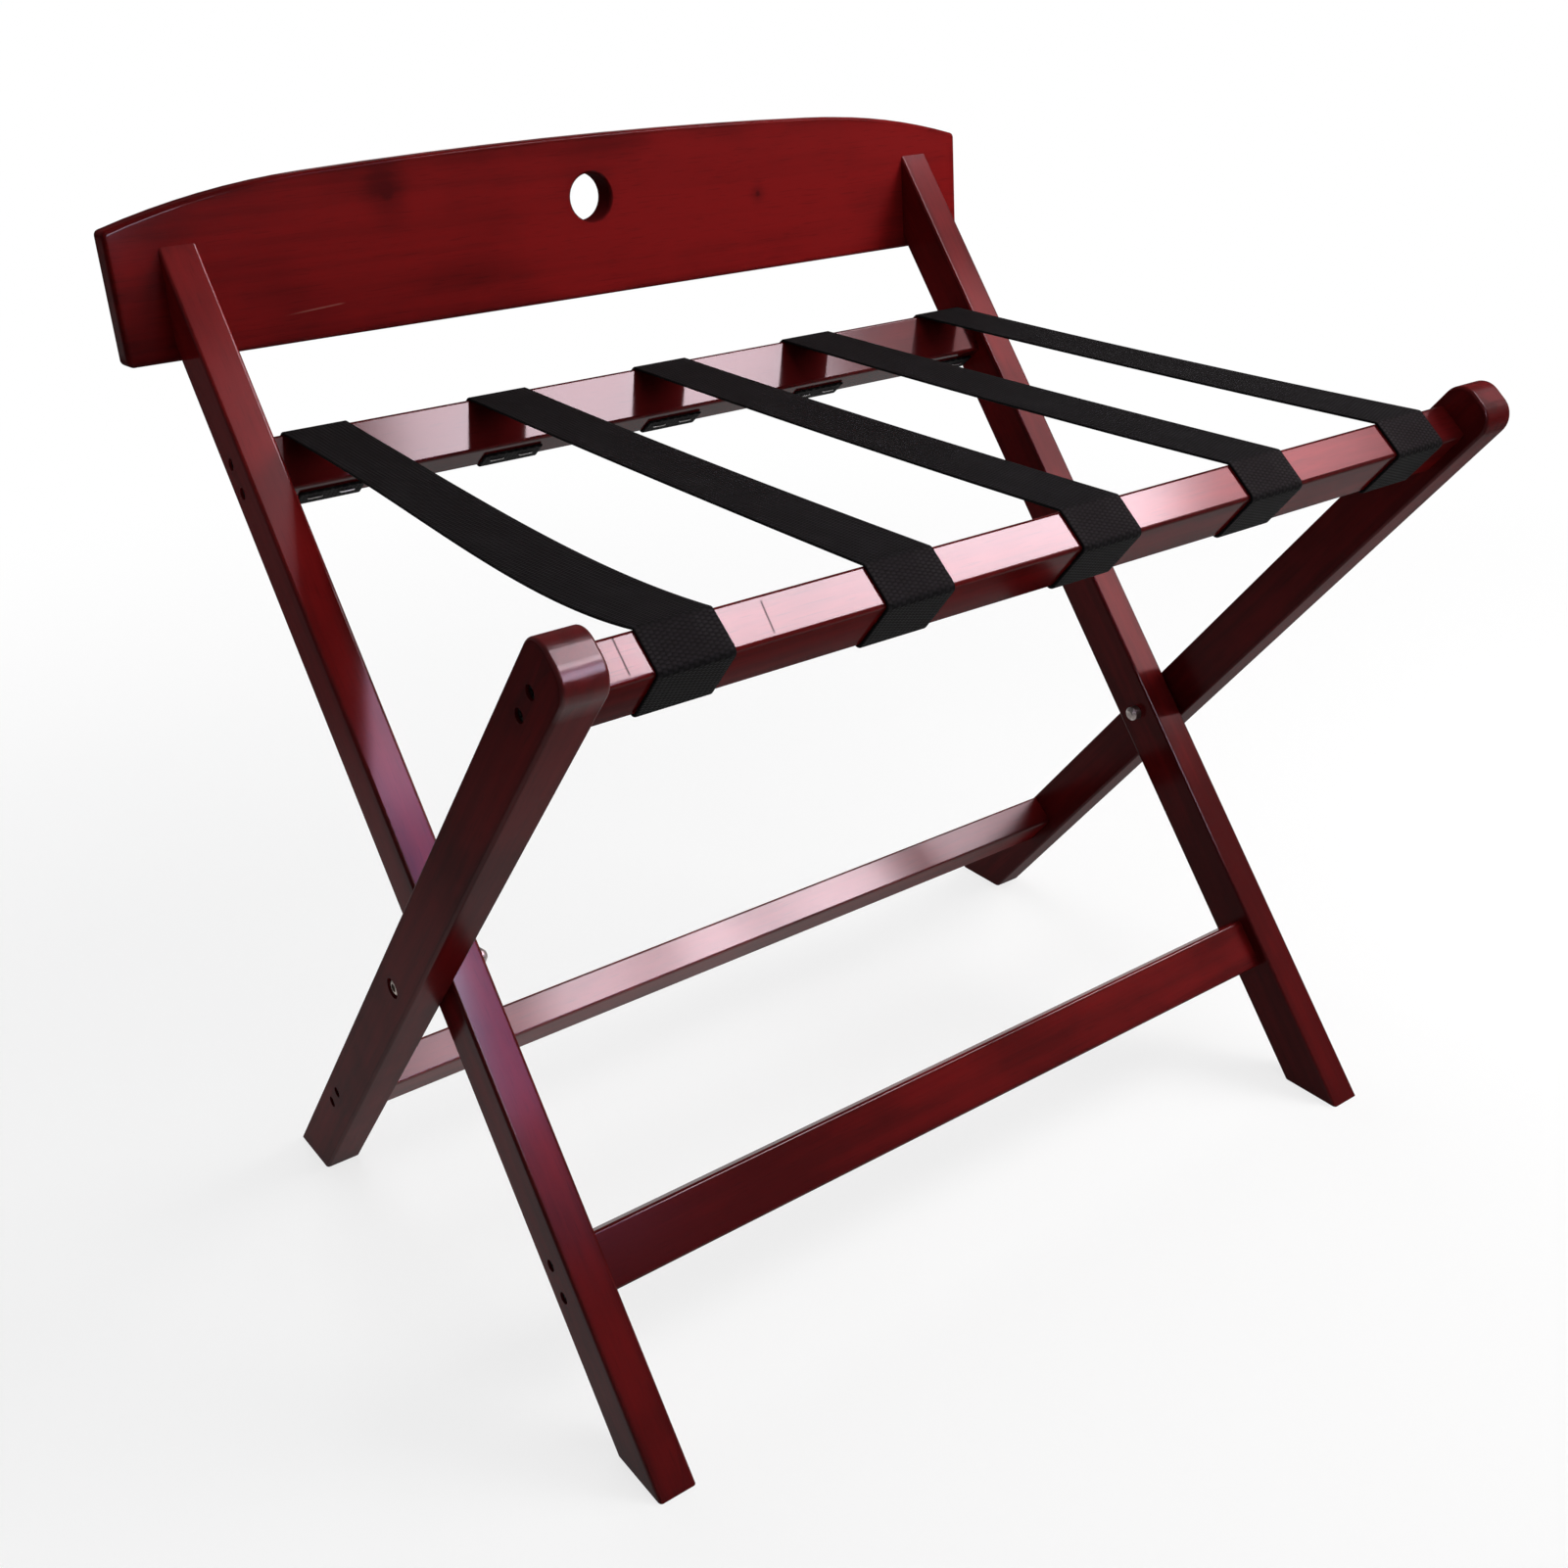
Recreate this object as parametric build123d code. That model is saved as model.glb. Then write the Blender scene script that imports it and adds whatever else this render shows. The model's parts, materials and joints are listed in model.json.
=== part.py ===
from build123d import *
import os
from math import cos, radians, sin, tan

# Folding luggage rack: two crossed timber frames on pivot bolts, five webbing straps, an arched backboard.
# Millimetres, +X to the right, +Y to the back, +Z up. The rack stands open.

# Overall form
RACK_WIDTH = 624.0  # over the outer faces of the short legs
PIVOT_HEIGHT = 225.0  # bolt centre above the floor
LEG_LEAN = 39.2  # lean of every leg from the vertical, degrees
LONG_LEG_REACH = 441.0  # pivot to the tip of the long leg, along the leg
SHORT_LEG_REACH = 336.5  # pivot to the top of the rounded head, along the leg

# Planed timber
LEG_THICKNESS = 23.0
LEG_WIDTH = 33.5
HEAD_RADIUS = 13.0  # round corners of the short legs' heads
EDGE_RADIUS = 2.0
RAIL_THICKNESS = 23.0
RAIL_DEPTH = 33.5

# Rail centres: distance from the pivot along the leg, then offset across it, upwards positive
FRONT_RAIL_AT = (300.0, 1.5)
BACK_STRETCHER_AT = (-191.0, 4.5)
FRONT_STRETCHER_AT = (-179.5, -3.5)
BACK_RAIL_ACROSS = -3.3  # its distance follows, so that the straps lie level

# Backboard, heights from the tips of the long legs
BOARD_OVERHANG = 29.0  # past the outer faces of the long legs
BOARD_THICKNESS = 18.0
BOARD_TILT = 3.9  # lean to the back, degrees
BOARD_BELOW = 64.0
BOARD_END_ABOVE = 11.5
BOARD_CROWN_ABOVE = 36.6
SHOULDER_FROM_END = 125.0  # where the crown's flat arc turns into the shoulder
SHOULDER_DROP = 4.2  # of that point below the crown
BOARD_CORNER_RADIUS = 3.5
BOARD_EDGE_RADIUS = 2.5
HANGING_HOLE = 30.0
HANGING_HOLE_BELOW = 1.7
HANGING_HOLE_EDGE = 1.5

# Pivot hardware
PIVOT_GAP = 3.0  # between a long leg and the short leg beside it
BOLT_DIAMETER = 6.0
BOLT_CLEARANCE = 0.08  # round the bolt, in every bore
RUNNING_GAP = 0.1  # between faces that turn against each other
BOLT_HEAD_DIAMETER = 10.5
BOLT_HEAD_HEIGHT = 4.0
BOLT_HEAD_SUNK = 2.4
BOLT_SOCKET = 4.0
BOLT_SOCKET_DEPTH = 2.2
HEAD_POCKET_CLEARANCE = 0.75
BOLT_END = 2.0  # short of the long leg's inner face, inside the nut
SPACER_DIAMETER = 19.0
NUT_WALL = 1.0  # of the sleeve nut's barrel, round the bolt
NUT_CAP_RIM = 0.9  # of its cap past the barrel
NUT_CAP_HEIGHT = 7.4
NUT_CAP_BEVEL = 2.4

# Screws of the rails and the backboard
SCREW_DIAMETER = 4.5
SCREW_CLEARANCE = 0.05
SCREW_HEAD_DIAMETER = 7.0
SCREW_HEAD_HEIGHT = 4.0
SCREW_SUNK = 1.5  # head below the leg's outer face
SCREW_LENGTH = 48.0  # under the head
SCREW_PITCH = 18.5
BOARD_SCREW_GRIP = 12.0  # length in the leg
BOARD_SCREW_HEAD = 8.5
BOARD_SCREW_CONE = 3.2
BOARD_SCREW_SUNK = 0.4
BOARD_SCREWS_BELOW = (24.0, 46.0)

# Webbing
STRAP_COUNT = 5
STRAP_WIDTH = 40.0
STRAP_THICKNESS = 1.6
STRAP_LAY = 0.1  # between webbing and timber
STRAP_SHIFT = 3.0  # of the whole set to the right
STRAP_FRONT_MARGIN = 25.0  # outer strap to the short leg, on the front rail
STRAP_BACK_MARGIN = 5.0  # outer strap to the long leg, on the back rail
STRAP_TAIL = 15.0  # under the rail, where it is stapled
STRAP_LEAD = 1.0  # flat length between a rail's top corner and the open span

# Places that follow
LEAN = radians(LEG_LEAN)
SHORT_OUTER = RACK_WIDTH / 2
SHORT_INNER = SHORT_OUTER - LEG_THICKNESS
LONG_OUTER = SHORT_INNER - PIVOT_GAP
LONG_INNER = LONG_OUTER - LEG_THICKNESS
LEG_HALF = LEG_WIDTH / 2
BOARD_HALF = LONG_OUTER + BOARD_OVERHANG
TIP_ANGLE = radians(LEG_LEAN - BOARD_TILT)
BACK_RAIL_AT = (FRONT_RAIL_AT[0] + (FRONT_RAIL_AT[1] - BACK_RAIL_ACROSS) * tan(LEAN), BACK_RAIL_ACROSS)
BOLT_BORE = BOLT_DIAMETER / 2 + BOLT_CLEARANCE
NUT_RADIUS = BOLT_DIAMETER / 2 + NUT_WALL
SCREW_BORE = SCREW_DIAMETER / 2 + SCREW_CLEARANCE
RIGHTWARD = (1, 0, 0)


def inner_plane():
    """Section plane of the inner frame: local x up along the long leg, local y across it."""
    return Plane(origin=(0, 0, PIVOT_HEIGHT), x_dir=(0, sin(LEAN), cos(LEAN)), z_dir=RIGHTWARD)


def outer_plane():
    """Section plane of the outer frame: local x up along the short leg, local y across it."""
    return Plane(origin=(0, 0, PIVOT_HEIGHT), x_dir=(0, -sin(LEAN), cos(LEAN)), z_dir=(-1, 0, 0))


def board_plane():
    """Front face of the backboard: origin between the long legs' tips, local y up the board."""
    tip = inner_plane().from_local_coords((LONG_LEG_REACH, LEG_HALF, 0))
    tilt = radians(BOARD_TILT)
    return Plane(origin=tip, x_dir=RIGHTWARD, z_dir=(0, -cos(tilt), sin(tilt)))


def rod(plane, at, radius, x_from, x_to):
    """A round bar parallel to X through a point of a section plane."""
    centre = plane.from_local_coords((at[0], at[1], 0))
    middle = Pos((x_from + x_to) / 2, centre.Y, centre.Z)
    return middle * Rot(0, 90, 0) * Cylinder(radius, abs(x_to - x_from))


def pair(at):
    """The two screw places at a rail's end, one above the other along the leg."""
    return [(at[0] + side * SCREW_PITCH / 2, at[1]) for side in (1, -1)]


def left_of(piece):
    return mirror(piece, about=Plane.YZ)


def sole(across):
    """How far along the leg the floor lies, on the line at this offset across the leg."""
    return -(PIVOT_HEIGHT + across * sin(LEAN)) / cos(LEAN)


def leg_blank(plane, top_points, x_inner, top_radius, saw_cut):
    """A leg of even thickness. Its edges are round, but for those of its level sole and of a saw cut."""
    foot = [(sole(-LEG_HALF), -LEG_HALF), (sole(LEG_HALF), LEG_HALF)]
    outline = make_face(Polyline(*foot, *top_points, close=True))
    if top_radius:
        outline = fillet(outline.vertices().sort_by(Axis.X)[-2:], top_radius)
    seat = Plane(plane.origin + Vector(x_inner + LEG_THICKNESS / 2, 0, 0), plane.x_dir, plane.z_dir)
    leg = extrude(seat * outline, LEG_THICKNESS / 2, both=True)
    outlines = [e for face in leg.faces().filter_by(Axis.X) for e in face.edges()]
    return fillet([e for e in outlines if (e @ 0.5).Z > EDGE_RADIUS and not saw_cut(e)], EDGE_RADIUS)


def drill_for_rail(leg, plane, at, x_inner):
    """Bores and sunk seats for the two screws of one rail end."""
    x_outer = x_inner + LEG_THICKNESS
    head_radius = SCREW_HEAD_DIAMETER / 2 + SCREW_CLEARANCE
    for place in pair(at):
        leg -= rod(plane, place, SCREW_BORE, x_inner, x_outer)
        leg -= rod(plane, place, head_radius, x_outer - SCREW_SUNK - SCREW_HEAD_HEIGHT, x_outer)
    return leg


def long_leg():
    """Right long leg: its top is cut to the backboard's slope."""
    foot_of_cut = LONG_LEG_REACH - LEG_WIDTH / tan(TIP_ANGLE)
    top = [(LONG_LEG_REACH, LEG_HALF), (foot_of_cut, -LEG_HALF)]
    board = board_plane()

    def on_cut(edge):
        return abs(board.to_local_coords(edge @ 0.5).Z) < EDGE_RADIUS / 2

    leg = leg_blank(inner_plane(), top, LONG_INNER, None, on_cut)
    leg -= rod(inner_plane(), (0, 0), NUT_RADIUS + BOLT_CLEARANCE, LONG_INNER, LONG_OUTER)
    for at in (BACK_RAIL_AT, FRONT_STRETCHER_AT):
        leg = drill_for_rail(leg, inner_plane(), at, LONG_INNER)
    for below in BOARD_SCREWS_BELOW:
        leg -= board_rod(below, SCREW_BORE, 0, BOARD_SCREW_GRIP + SCREW_CLEARANCE)
    return leg


def short_leg():
    """Right short leg: rounded head, and a pocket for the pivot bolt's head."""
    top = [(SHORT_LEG_REACH, LEG_HALF), (SHORT_LEG_REACH, -LEG_HALF)]
    leg = leg_blank(outer_plane(), top, SHORT_INNER, HEAD_RADIUS, lambda edge: False)
    pocket = BOLT_HEAD_DIAMETER / 2 + HEAD_POCKET_CLEARANCE
    leg -= rod(outer_plane(), (0, 0), BOLT_BORE, SHORT_INNER, SHORT_OUTER)
    leg -= rod(outer_plane(), (0, 0), pocket, SHORT_OUTER - BOLT_HEAD_SUNK - BOLT_HEAD_HEIGHT, SHORT_OUTER)
    for at in (FRONT_RAIL_AT, BACK_STRETCHER_AT):
        leg = drill_for_rail(leg, outer_plane(), at, SHORT_INNER)
    return leg


def rail(plane, at, x_end):
    """A cross rail between two legs, bored at both ends for its screws."""
    section = Pos(at[0], at[1]) * RectangleRounded(RAIL_DEPTH, RAIL_THICKNESS, EDGE_RADIUS)
    timber = extrude(plane * section, x_end, both=True)
    bore_end = x_end - screw_grip() - SCREW_CLEARANCE
    for place in pair(at):
        bore = rod(plane, place, SCREW_BORE, bore_end, x_end)
        timber -= bore + left_of(bore)
    return timber


def screw_grip():
    """Length of a rail screw inside the rail."""
    return SCREW_LENGTH - (LEG_THICKNESS - SCREW_SUNK - SCREW_HEAD_HEIGHT)


def rail_screws(plane, at, x_inner):
    """The four screws of one rail, two through each leg."""
    head_top = x_inner + LEG_THICKNESS - SCREW_SUNK
    head_seat = head_top - SCREW_HEAD_HEIGHT
    screws = []
    for place in pair(at):
        screw = rod(plane, place, SCREW_HEAD_DIAMETER / 2, head_seat, head_top)
        screw += rod(plane, place, SCREW_DIAMETER / 2, head_seat - SCREW_LENGTH, head_seat)
        screws += [screw, left_of(screw)]
    return Compound(children=screws)


def board_outline():
    """Backboard seen from the front: square ends, a flat crown and round shoulders."""
    shoulder = (BOARD_HALF - SHOULDER_FROM_END, BOARD_CROWN_ABOVE - SHOULDER_DROP)
    end = (BOARD_HALF, BOARD_END_ABOVE)
    foot = (BOARD_HALF, -BOARD_BELOW)
    flip = lambda point: (-point[0], point[1])
    crown = ThreePointArc(flip(shoulder), (0, BOARD_CROWN_ABOVE), shoulder)
    right = TangentArc(shoulder, end, tangent=crown % 1)
    left = TangentArc(flip(shoulder), flip(end), tangent=-(crown % 0))
    square = Polyline(end, foot, flip(foot), flip(end))
    outline = make_face(Wire([*crown.edges(), *right.edges(), *square.edges(), *left.edges()]))
    corners = [v for v in outline.vertices() if abs(v.X) > BOARD_HALF - EDGE_RADIUS]
    return fillet(corners, BOARD_CORNER_RADIUS)


def board_rod(below, radius, z_from, z_to):
    """A round bar square to the backboard, on the middle of the right long leg's cut top."""
    x = (LONG_INNER + LONG_OUTER) / 2
    return board_plane() * Pos(x, -below, (z_from + z_to) / 2) * Cylinder(radius, z_to - z_from)


def board_screw(below, room=0.0):
    """A countersunk screw through the backboard into the right long leg, or its hole, with room to spare."""
    top = BOARD_SCREW_SUNK - BOARD_THICKNESS
    shank = SCREW_DIAMETER / 2 + room
    head = Cone(BOARD_SCREW_HEAD / 2 + room, shank, BOARD_SCREW_CONE)
    x = (LONG_INNER + LONG_OUTER) / 2
    head = board_plane() * Pos(x, -below, top + BOARD_SCREW_CONE / 2) * head
    return head + board_rod(below, shank, top + BOARD_SCREW_CONE, BOARD_SCREW_GRIP)


def backboard():
    board = extrude(board_plane() * board_outline(), -BOARD_THICKNESS)
    sides = board.faces().filter_by(Axis((0, 0, 0), board_plane().z_dir))
    board = fillet([e for side in sides for e in side.edges()], BOARD_EDGE_RADIUS)
    middle = -BOARD_THICKNESS / 2
    hole = board_plane() * Pos(0, -HANGING_HOLE_BELOW, middle) * Cylinder(HANGING_HOLE / 2, BOARD_THICKNESS)
    board -= hole
    rims = [e for e in board.edges().filter_by(GeomType.CIRCLE) if e.radius == HANGING_HOLE / 2]
    board = chamfer(rims, HANGING_HOLE_EDGE)
    for below in BOARD_SCREWS_BELOW:
        bore = board_screw(below, SCREW_CLEARANCE)
        head = BOARD_SCREW_HEAD / 2 + SCREW_CLEARANCE
        bore += board_rod(below, head, -BOARD_THICKNESS, BOARD_SCREW_SUNK - BOARD_THICKNESS)
        board -= bore + left_of(bore)
    return board


def board_screws():
    screws = [board_screw(below) for below in BOARD_SCREWS_BELOW]
    return Compound(children=screws + [left_of(screw) for screw in screws])


def x_prism(shape, x_from, depth):
    """A flat shape stood square to X at the pivot and extruded towards smaller X."""
    return extrude(Plane(origin=(x_from, 0, PIVOT_HEIGHT), z_dir=(-1, 0, 0)) * shape, depth)


def pivot_bolt():
    """Right pivot bolt: socket head in the short leg's pocket, shank in the sleeve nut."""
    head_top = SHORT_OUTER - BOLT_HEAD_SUNK
    head_seat = head_top - BOLT_HEAD_HEIGHT
    bolt = x_prism(Circle(BOLT_HEAD_DIAMETER / 2), head_top, BOLT_HEAD_HEIGHT)
    bolt += x_prism(Circle(BOLT_DIAMETER / 2), head_seat, head_seat - LONG_INNER - BOLT_END)
    socket = RegularPolygon(BOLT_SOCKET / 2, 6, major_radius=False)
    return bolt - x_prism(socket, head_top, BOLT_SOCKET_DEPTH)


def pivot_nut():
    """Right sleeve nut: a barrel that the long leg turns on, and a round cap at the leg's inner face."""
    cap_seat = LONG_INNER - RUNNING_GAP
    cap = x_prism(Circle(NUT_RADIUS + NUT_CAP_RIM), cap_seat, NUT_CAP_HEIGHT)
    cap = chamfer(cap.faces().sort_by(Axis.X)[0].edges(), NUT_CAP_BEVEL)
    mouth = LONG_OUTER - RUNNING_GAP
    nut = cap + x_prism(Circle(NUT_RADIUS), mouth, mouth - cap_seat)
    return nut - x_prism(Circle(BOLT_BORE), mouth, mouth - LONG_INNER)


def spacer():
    ring = Circle(SPACER_DIAMETER / 2) - Circle(BOLT_BORE)
    return x_prism(ring, SHORT_INNER - RUNNING_GAP, PIVOT_GAP - RUNNING_GAP)


def strap_bend(at):
    """Centre of the round top corner that a strap leaves a rail from, in the rail's section plane."""
    return at[0] + RAIL_DEPTH / 2 - EDGE_RADIUS, at[1] + RAIL_THICKNESS / 2 - EDGE_RADIUS


def strap_end(plane, at, x_centre):
    """Webbing round a rail: from the tail under it, over two corners, to the level lead on its top corner."""
    bend = EDGE_RADIUS + STRAP_LAY
    centre = strap_bend(at)
    low = at[0] - RAIL_DEPTH / 2 - STRAP_LAY
    high = at[0] + RAIL_DEPTH / 2 + STRAP_LAY
    far = at[1] - RAIL_THICKNESS / 2 - STRAP_LAY
    turn = centre[1] + bend * tan(LEAN / 2)
    lead = bend * tan(LEAN / 2) + STRAP_LEAD
    leaves = (high - lead * sin(LEAN), turn + lead * cos(LEAN))
    path = FilletPolyline((low, far + STRAP_TAIL), (low, far), (high, far), (high, turn), leaves, radius=bend)
    strip = make_face(offset(path, STRAP_THICKNESS, side=Side.RIGHT, closed=True))
    seat = Plane(plane.origin + Vector(x_centre, 0, 0), plane.x_dir, plane.z_dir)
    return extrude(seat * strip, STRAP_WIDTH / 2, both=True)


def span_section(plane, at, x_centre, towards):
    """Upright section of a strap where its open span starts, past the rail's top corner."""
    corner = plane.from_local_coords((*strap_bend(at), 0))
    middle = corner.Z + EDGE_RADIUS + STRAP_LAY + STRAP_THICKNESS / 2
    origin = (x_centre, corner.Y + towards * STRAP_LEAD, middle)
    return Plane(origin, x_dir=RIGHTWARD, z_dir=(0, 1, 0)) * Rectangle(STRAP_WIDTH, STRAP_THICKNESS)


def strap_places(reach):
    """Strap centres on a rail, spread evenly so that the outer edges lie at this reach either side."""
    pitch = (2 * reach - STRAP_WIDTH) / (STRAP_COUNT - 1)
    return [STRAP_SHIFT + (i - (STRAP_COUNT - 1) / 2) * pitch for i in range(STRAP_COUNT)]


def straps():
    nodes = {}
    fronts = strap_places(SHORT_INNER - STRAP_FRONT_MARGIN)
    backs = strap_places(LONG_INNER - STRAP_BACK_MARGIN)
    for number, (front, back) in enumerate(zip(fronts, backs), 1):
        start = span_section(outer_plane(), FRONT_RAIL_AT, front, 1)
        finish = span_section(inner_plane(), BACK_RAIL_AT, back, -1)
        nodes[f"strap_{number}_span"] = loft([start, finish], ruled=True)
        nodes[f"strap_{number}_front_end"] = strap_end(outer_plane(), FRONT_RAIL_AT, front)
        nodes[f"strap_{number}_back_end"] = strap_end(inner_plane(), BACK_RAIL_AT, back)
    return nodes


def both_sides(name, piece):
    return {f"{name}_right": piece, f"{name}_left": left_of(piece)}


def rack():
    return {
        **both_sides("long_leg", long_leg()),
        **both_sides("short_leg", short_leg()),
        "back_rail": rail(inner_plane(), BACK_RAIL_AT, LONG_INNER),
        "front_stretcher": rail(inner_plane(), FRONT_STRETCHER_AT, LONG_INNER),
        "front_rail": rail(outer_plane(), FRONT_RAIL_AT, SHORT_INNER),
        "back_stretcher": rail(outer_plane(), BACK_STRETCHER_AT, SHORT_INNER),
        "backboard": backboard(),
        "back_rail_screws": rail_screws(inner_plane(), BACK_RAIL_AT, LONG_INNER),
        "front_stretcher_screws": rail_screws(inner_plane(), FRONT_STRETCHER_AT, LONG_INNER),
        "front_rail_screws": rail_screws(outer_plane(), FRONT_RAIL_AT, SHORT_INNER),
        "back_stretcher_screws": rail_screws(outer_plane(), BACK_STRETCHER_AT, SHORT_INNER),
        "backboard_screws": board_screws(),
        **both_sides("pivot_bolt", pivot_bolt()),
        **both_sides("pivot_nut", pivot_nut()),
        **both_sides("pivot_spacer", spacer()),
        **straps(),
    }


nodes = rack()
box = Compound([solid for piece in nodes.values() for solid in piece.solids()]).bounding_box()
# The origin is on the floor, under the middle of the whole rack.
to_origin = Pos(-(box.min.X + box.max.X) / 2, -(box.min.Y + box.max.Y) / 2, -box.min.Z)
os.makedirs("parts", exist_ok=True)
for name, piece in nodes.items():
    export_step(to_origin * piece, f"parts/{name}.step")
print("size", box.size, "pivot", (to_origin * Pos(0, 0, PIVOT_HEIGHT)).position)
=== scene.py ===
import json
from functools import partialmethod
from math import ceil, cos, pi, radians, sin, tan

import bmesh
import bpy
import numpy as np
from bpy.props import FloatProperty, FloatVectorProperty, IntProperty, PointerProperty
from mathutils import Matrix, Vector
from mathutils.kdtree import KDTree


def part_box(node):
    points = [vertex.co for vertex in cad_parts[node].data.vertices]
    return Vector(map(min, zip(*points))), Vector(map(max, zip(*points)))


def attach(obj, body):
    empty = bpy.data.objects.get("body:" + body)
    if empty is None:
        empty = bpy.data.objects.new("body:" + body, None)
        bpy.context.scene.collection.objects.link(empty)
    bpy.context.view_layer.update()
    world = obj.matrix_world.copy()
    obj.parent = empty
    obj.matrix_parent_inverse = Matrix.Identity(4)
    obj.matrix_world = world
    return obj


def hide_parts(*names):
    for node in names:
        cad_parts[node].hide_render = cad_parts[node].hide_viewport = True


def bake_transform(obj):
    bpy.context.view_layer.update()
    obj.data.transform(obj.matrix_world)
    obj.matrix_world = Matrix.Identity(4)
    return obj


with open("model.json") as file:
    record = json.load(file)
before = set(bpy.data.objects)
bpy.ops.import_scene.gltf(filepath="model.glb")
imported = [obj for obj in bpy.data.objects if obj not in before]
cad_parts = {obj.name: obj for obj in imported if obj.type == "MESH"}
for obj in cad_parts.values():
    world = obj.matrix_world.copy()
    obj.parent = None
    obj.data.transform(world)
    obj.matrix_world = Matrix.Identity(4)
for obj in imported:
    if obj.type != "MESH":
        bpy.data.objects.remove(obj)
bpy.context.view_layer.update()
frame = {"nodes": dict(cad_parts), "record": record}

bl_info = {
    "name": "Folding luggage rack",
    "version": (1, 0, 0),
    "blender": (4, 5, 0),
    "location": "View3D > Sidebar > Rack",
    "description": "Lacquered timber, webbing, staples, screws and pivots of a folding luggage rack",
    "category": "Object",
}

MM = 0.001
INNER, OUTER = "inner_frame", "outer_frame"
SIDES = ("left", "right")
LEGS = [f"{length}_leg_{side}" for length in ("long", "short") for side in SIDES]
RAILS = ["back_rail", "front_stretcher", "front_rail", "back_stretcher"]
STRAPS = range(1, 1 + sum(name.endswith("_span") for name in frame["nodes"]))
SCREW_SETS = [name for name in frame["nodes"] if name.endswith("_screws")]
BODY_OF = {node: body for body, nodes in frame["record"]["behaviour"]["bodies"].items() for node in nodes}

# A timber's painted shade at its start, middle and end, a deeper stain standing in for the shade on it and
# partly its own tone, its gloss at its start, middle and end, and the share of that gloss on its flat sides
# and along its edges
WOODS = {
    "backboard": ((0.3, 0.06, 0.0), (1.0, 1.0, 1.0), 1.0, 0.2),
    "back_rail": ((1.0, 1.0, 0.8), (1.0, 1.0, 1.0), 1.06, 1.0),
    "front_rail": ((0.2, 0.3, 0.3), (1.12, 1.12, 1.12), 0.54, 1.0),
    "front_stretcher": ((0.75, 0.28, 0.34), (1.0, 1.0, 1.0), 1.0, 1.0),
    "back_stretcher": ((0.1, 0.1, 0.1), (2.8, 2.75, 0.95), 0.37, 1.0),
    "long_leg_left": ((0.36, 0.12, 0.02), (1.0, 1.0, 1.0), 0.55, 1.0),
    "long_leg_right": ((0.8, 0.46, 0.04), (1.0, 1.2, 0.75), 0.3, 1.0),
    "short_leg_left": ((0.32, 0.32, 0.32), (0.5, 0.5, 0.5), 0.66, 1.0),
    "short_leg_right": ((0.7, 0.6, 0.4), (0.5, 0.5, 0.5), 0.66, 1.0),
}
# Steps along, across and through the wood from one timber's cut to the next one's
GRAIN_STEP = np.array([1.37, 0.53, 0.29])
# The strap that hangs loose, and the turn in radians from each strap's lean to the next
LOOSE_STRAP, LEAN_STEP = 1, 2.1

# A lamp's name, azimuth from the front to the right and elevation, turn of its length from the level, half
# length and half width as seen from the rack, all in degrees, then distance from the point that the lamps
# face, colour, radiance, and whether it lights the body or only shows in the gloss
LAMPS = (
    ("key", (60, 30), 0, (16, 16), 1.8, (1.0, 0.98, 0.97), 8.8, "body"),
    ("top fill", (20, 64), 0, (16, 16), 1.8, (1.0, 0.98, 0.97), 2.4, "body"),
    ("back fill", (175, 32), 0, (18, 18), 3.2, (0.97, 0.98, 1.0), 3.0, "body"),
    ("left window", (51.2, 51.4), -43, (7.4, 4.5), 20.0, (1.0, 0.80, 0.88), 46.0, "gloss"),
    ("right window", (71.7, 52.3), -67, (10.3, 2.8), 20.0, (1.0, 0.80, 0.88), 51.0, "gloss"),
    ("right window glow", (78.3, 39.8), -67, (4, 3), 20.0, (1.0, 0.44, 0.48), 17.0, "gloss"),
    ("violet window", (30.9, 49.5), 70, (3.2, 3), 20.0, (1.0, 0.55, 0.82), 18.0, "gloss"),
    ("violet glow", (27.2, 41.5), 70, (6, 3), 20.0, (0.80, 0.46, 1.0), 8.5, "gloss"),
    ("low violet glow", (24, 34), 70, (2.6, 2.6), 20.0, (1.0, 0.36, 0.62), 3.5, "gloss"),
    ("head window", (-6.5, 29), 75, (9.5, 3), 0.73, (0.84, 0.76, 1.0), 34.0, "gloss"),
    ("left arris window", (-6, 43), 0, (5, 5), 20.0, (1.0, 0.88, 0.92), 12.0, "gloss"),
    ("right arris window", (80, 19), 0, (5, 5), 20.0, (1.0, 0.85, 0.88), 14.0, "gloss"),
    ("red glow", (36.5, 57.5), 60, (3.5, 2.2), 20.0, (1.0, 0.52, 0.56), 4.0, "gloss"),
    ("low glow", (58, 36.6), 55, (8, 3.5), 20.0, (1.0, 0.46, 0.48), 8.0, "gloss"),
)
LAMPS_FACE = Vector((0, 0, 0.35))


# Settings


def size(name, description, millimetres):
    return FloatProperty(name=name, description=description, unit="LENGTH", default=millimetres * MM)


def ratio(name, description, default, most=1.0):
    limits = {"min": 0.0, "max": most}
    return FloatProperty(name=name, description=description, subtype="FACTOR", default=default, **limits)


def angle(name, description, degrees):
    return FloatProperty(name=name, description=description, subtype="ANGLE", default=radians(degrees))


def tint(name, description, default):
    return FloatVectorProperty(name=name, description=description, subtype="COLOR", default=default)


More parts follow.
